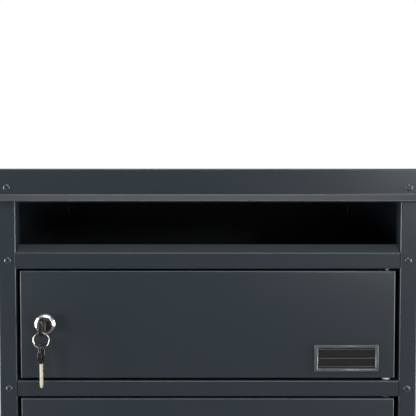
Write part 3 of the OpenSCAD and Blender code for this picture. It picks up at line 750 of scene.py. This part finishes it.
# %% Nut
deselect()
bpy.ops.mesh.primitive_cylinder_add(vertices=6, radius=13.85 * MM, depth=3.4 * MM,
                                    location=lock + Vector((0, 2.75, 0)) * MM, rotation=(math.pi / 2, 0, 0))
open_new("lock_nut_model")
nut = close()
turned("nut_chamfer", lock, (0, 1, 0), ACROSS, [
    (0, 0.9), (12.6, 0.9), (13.9, 1.6), (13.9, 3.9), (12.6, 4.6), (0, 4.6)], steps=64)
cut(nut, close(), "INTERSECT")
turned("nut_bore", lock, (0, 1, 0), ACROSS, [
    (0, 0), (9.9, 0), (9.9, 1.2), (9.56, 1.6), (9.56, 3.9), (9.9, 4.3), (9.9, 6), (0, 6)], steps=48)
cut(nut, close())
nut = close_again(nut, 25)
print("nut faces", len(nut.data.polygons))

# %% Cam
CAM_FACE, CAM_THICK, CAM_CRANK = 25.3, 2, 5
cam = block("lock_cam_model", lock + Vector((-8, CAM_FACE, -40)) * MM,
            lock + Vector((8, CAM_FACE + CAM_THICK, 8)) * MM)
for z in (-12.4, -18.4):
    bpy.ops.mesh.select_all(action="SELECT")
    bpy.ops.mesh.bisect(plane_co=lock + Vector((0, 0, z)) * MM, plane_no=(0, 0, 1))
pick("VERT", lambda c, v: c.z < lock.z - 18 * MM)
bpy.ops.transform.translate(value=(0, -CAM_CRANK * MM, 0))
pick("EDGE", lambda c, e: abs(c.x - lock.x) > 7 * MM and (c.z > lock.z + 7 * MM or c.z < lock.z - 39 * MM))
bpy.ops.mesh.bevel(offset=7.9 * MM, segments=12, affect="EDGES")
pick("EDGE", lambda c, e: len(e.link_faces) == 2 and e.calc_face_angle() > math.radians(60))
bpy.ops.mesh.bevel(offset=0.3 * MM, segments=2, affect="EDGES")
cam = close(35)
block("cam_square", lock + Vector((-3.55, 20, -3.55)) * MM, lock + Vector((3.55, 30, 3.55)) * MM)
cut(cam, close())
cam = close_again(cam, 35)
print("cam faces", len(cam.data.polygons))

# %% [markdown]
# A round-headed screw with a cross recess holds the cam on the plug. Its shank, rim and dome are one turned
# profile, and the recess is two thin blocks cut into the dome.

# %% Cam screw
SEAT = 27.32                # where the head meets the cam, in mm behind the front
turned("cam_screw_model", lock, (0, 1, 0), ACROSS, [
    (0, 23.5), (1.8, 23.5), (2.0, 23.8), (2.0, SEAT), (4.7, SEAT), (5.0, SEAT + 0.25), (5.0, SEAT + 1.0),
    (4.7, SEAT + 1.6), (3.8, SEAT + 2.15), (2.2, SEAT + 2.38), (0, SEAT + 2.4)], steps=32)
screw = close(25)
for half_x, half_z in ((2.7, 0.55), (0.55, 2.7)):
    block("cross_tool", lock + Vector((-half_x, SEAT + 1.1, -half_z)) * MM,
          lock + Vector((half_x, SEAT + 4, half_z)) * MM)
    cut(screw, close())
screw = close_again(screw, 25)
print("screw faces", len(screw.data.polygons))

# %% [markdown]
# The four locks are the same, so the models are copied down the column. The body and its nut belong to the
# door. The plug, the cam and its screw turn.

# %% Locks at every door
for i in DOORS:
    shift = Matrix.Translation((0, 0, LOCK_AT[i].z - LOCK_AT[1].z))
    parts = [(lock_body, "chrome_lock", CHROME, f"door_{i}", "lock_chrome", "lock_body"),
             (nut, "hex_nut", ZINC_WITH_PAINTED_SHADE, f"door_{i}", "zinc_steel", "lock_nut"),
             (plug, "keyed_plug", PLUG_PLATE, f"lock_{i}", "plug_metal", "lock_plug"),
             (cam, "steel_cam", ZINC_WITH_PAINTED_SHADE, f"lock_{i}", "zinc_steel", "lock_cam"),
             (screw, "cross_screw", ZINC_WITH_PAINTED_SHADE, f"lock_{i}", "zinc_steel", "cam_screw")]
    for model, name, material, body, slot, node in parts:
        settle(copied(model, f"door_{i}_{name}", shift), material, body, slot, f"door_{i}_{node}")
for model in (lock_body, nut, plug, cam, screw):
    bpy.data.objects.remove(model)
print("locks", len(DOORS))

# %% [markdown]
# ## Keys
# A key is a milled blade in a moulded handle. The handle is a flat block with rounded corners, a soft edge
# all round, and a shallow panel sunk in both faces for the thumb. A slot across its far end is closed by a
# round bar that the ring hangs on. The outline could be drawn as a curve and filled, but a bevelled block
# gives the same rounded shape with even faces. The key is modelled at the origin, shoulder at y = 0 and
# handle towards the viewer, and then copied into the lock and, turned, under the ring.

# %% Key handle
BOW_LENGTH, BOW_HALF, BOW_THICK = 20.0, 9.0, 4.5
SLOT_MIDDLE = 15.0
bow = block("bow_model", Vector((-BOW_THICK / 2, -BOW_LENGTH, -BOW_HALF)) * MM,
            Vector((BOW_THICK / 2, -3.0, BOW_HALF)) * MM)
pick("EDGE", lambda c, e: abs(c.y + 11.5 * MM) > 8 * MM and abs(c.z) > 8.9 * MM)
bpy.ops.mesh.bevel(offset=5 * MM, segments=10, affect="EDGES")
pick("EDGE", lambda c, e: len(e.link_faces) == 2 and e.calc_face_angle() > math.radians(60))
bpy.ops.mesh.bevel(offset=0.7 * MM, segments=4, affect="EDGES")
pick("FACE", lambda c, f: abs(f.normal.x) > 0.99 and f.calc_area() > 5e-5)
bpy.ops.mesh.inset(thickness=1.3 * MM, depth=0)
bpy.ops.mesh.inset(thickness=0.5 * MM, depth=-0.45 * MM)
bow = close(35)
neck = block("bow_neck", Vector((-BOW_THICK / 2, -4.5, -4.75)) * MM, Vector((BOW_THICK / 2, 0, 4.75)) * MM)
pick("EDGE", lambda c, e: c.y > -0.1 * MM or (abs(c.x) > 2 * MM and abs(c.z) > 4 * MM))
bpy.ops.mesh.bevel(offset=0.6 * MM, segments=3, affect="EDGES")
cut(bow, close(), "UNION")
block("ring_slot", Vector((-5, -SLOT_MIDDLE - 2, -12)) * MM, Vector((5, -SLOT_MIDDLE + 2, 12)) * MM)
cut(bow, close())
bars = []
for z in (-7.6, 7.6):
    turned("ring_bar", (0, -SLOT_MIDDLE * MM, z * MM), (0, 1, 0), (1, 0, 0), [
        (0, -3), (1.4, -3), (1.4, -2.1), (1.35, -1.6), (1.3, -1.2), (1.3, 1.2), (1.35, 1.6), (1.4, 2.1),
        (1.4, 3), (0, 3)], steps=24)
    bars.append(close())
for bar in bars:
    cut(bow, bar, "UNION")
bow = close_again(bow, 35)
print("handle faces", len(bow.data.polygons))

# %% [markdown]
# The blade is a strip with a pointed end. Its lower edge is cut by a V mill, five cuts of different depth,
# and a groove runs along each side so that it passes the keyway. Each cut is one small wedge: a block
# turned by 45 degrees. The grooves are long plain blocks.

# %% Key blade
BLADE_LENGTH, BLADE_HALF, BLADE_THICK = 26.4, 3.75, 2.0
CUTS = ((5, 1.4), (9, 2.2), (13, 0.9), (17, 1.8), (21, 1.1))     # place along the blade, depth
MILL_SIZE = 6.0
blade = block("blade_model", Vector((-BLADE_THICK / 2, -3, -BLADE_HALF)) * MM,
              Vector((BLADE_THICK / 2, BLADE_LENGTH, BLADE_HALF)) * MM)
pick("EDGE", lambda c, e: c.y > (BLADE_LENGTH - 0.1) * MM and abs(c.z) > 3 * MM)
bpy.ops.mesh.bevel(offset=2.8 * MM, segments=1, affect="EDGES")
pick("EDGE", lambda c, e: len(e.link_faces) == 2 and e.calc_face_angle() > math.radians(40)
     and c.y > -2.9 * MM)
bpy.ops.mesh.bevel(offset=0.18 * MM, segments=2, affect="EDGES")
blade = close(30)
for place, depth in CUTS:
    deselect()
    bpy.ops.mesh.primitive_cube_add(size=MILL_SIZE * MM, rotation=(math.radians(45), 0, 0), location=(
        0, place * MM, (-BLADE_HALF + depth - MILL_SIZE / math.sqrt(2)) * MM))
    open_new("v_mill")
    cut(blade, close())
for side in (-1, 1):
    low_x, high_x = sorted((side * 0.62, side * 1.6))
    block("groove_mill", Vector((low_x, 2, side * 0.9 - 0.65)) * MM,
          Vector((high_x, 40, side * 0.9 + 0.65)) * MM)
    cut(blade, close())
blade = close_again(blade, 30)
print("blade faces", len(blade.data.polygons))

# %% [markdown]
# One key sits in the first lock with its shoulder on the head. The other hangs from the ring, blade down and
# with its cut edge to the door.

# %% Both keys in place
key_place = Matrix.Translation(lock + Vector((0, -4.5, 0)) * MM)
spare_low, spare_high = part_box("spare_key_bow")
spare_middle = (spare_low + spare_high) / 2
spare_place = (Matrix.Translation((spare_middle.x, spare_middle.y, spare_high.z - BOW_LENGTH * MM))
               @ Matrix.Rotation(-math.pi / 2, 4, "X") @ Matrix.Rotation(math.pi, 4, "Y"))
for prefix, body, place in (("key", "key", key_place), ("spare_key", "spare_key", spare_place)):
    settle(copied(bow, f"{prefix}_moulded_handle", place), HANDLE_ABS, body, "key_plastic", f"{prefix}_bow")
    settle(copied(blade, f"{prefix}_milled_blade", place), KEY_METAL, body, "key_metal", f"{prefix}_blade")
bpy.data.objects.remove(bow)
bpy.data.objects.remove(blade)
print("keys in place")

# %% [markdown]
# ## Split ring
# The ring is spring wire wound twice round, its turns lying flat against each other, with one short step
# where each turn passes to the other side. A torus would have no step and no ends. Such a winding is a path,
# so it is worked out as a curve of many points, given a round section and converted to a mesh, which is then
# widened in the ring's plane to a flat oval wire.

# %% Split ring
ring_low, ring_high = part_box("key_ring")
ring_middle = (ring_low + ring_high) / 2
TURN_HALF, WIRE_RADIUS = 0.45, 8.35
TURN_STEPS, TURNS, START = 72, 1.97, math.radians(65)
WIRE_HALF, FLATTEN = 0.44, 0.4


def ring_point(step):
    """A point of the winding. The wire changes sides over a fifth of a turn."""
    angle = 2 * math.pi * step / TURN_STEPS
    share = min(1.0, max(0.0, (step / TURN_STEPS - 0.9) / 0.2))
    side = -1 + 2 * (3 * share ** 2 - 2 * share ** 3)
    return Vector((WIRE_RADIUS * math.sin(START + angle), side * TURN_HALF,
                   WIRE_RADIUS * math.cos(START + angle)))


path = bpy.data.curves.new("winding", "CURVE")
path.dimensions = "3D"
winding = path.splines.new("POLY")
points = [ring_middle + ring_point(step) * MM for step in range(int(TURN_STEPS * TURNS))]
winding.points.add(len(points) - 1)
for point, spot in zip(points, winding.points):
    spot.co = (*point, 1)
path.bevel_mode, path.bevel_depth = "ROUND", WIRE_HALF * MM
path.bevel_resolution, path.use_fill_caps = 3, True
ring = bpy.data.objects.new("split_ring", path)
bpy.context.scene.collection.objects.link(ring)
deselect()
bpy.context.view_layer.objects.active = ring
ring.select_set(True)
bpy.ops.object.convert(target="MESH")
ring = bpy.context.object
# flat wire: each point moves away from the wire's middle line, in the ring's plane
for vertex in ring.data.vertices:
    flat = Vector((vertex.co.x - ring_middle.x, 0, vertex.co.z - ring_middle.z))
    away = flat.length - WIRE_RADIUS * MM
    vertex.co += flat.normalized() * away * FLATTEN
ring = close(60)
settle(ring, RING_METAL, "ring", "ring_metal", "key_ring")
print("ring faces", len(ring.data.polygons))
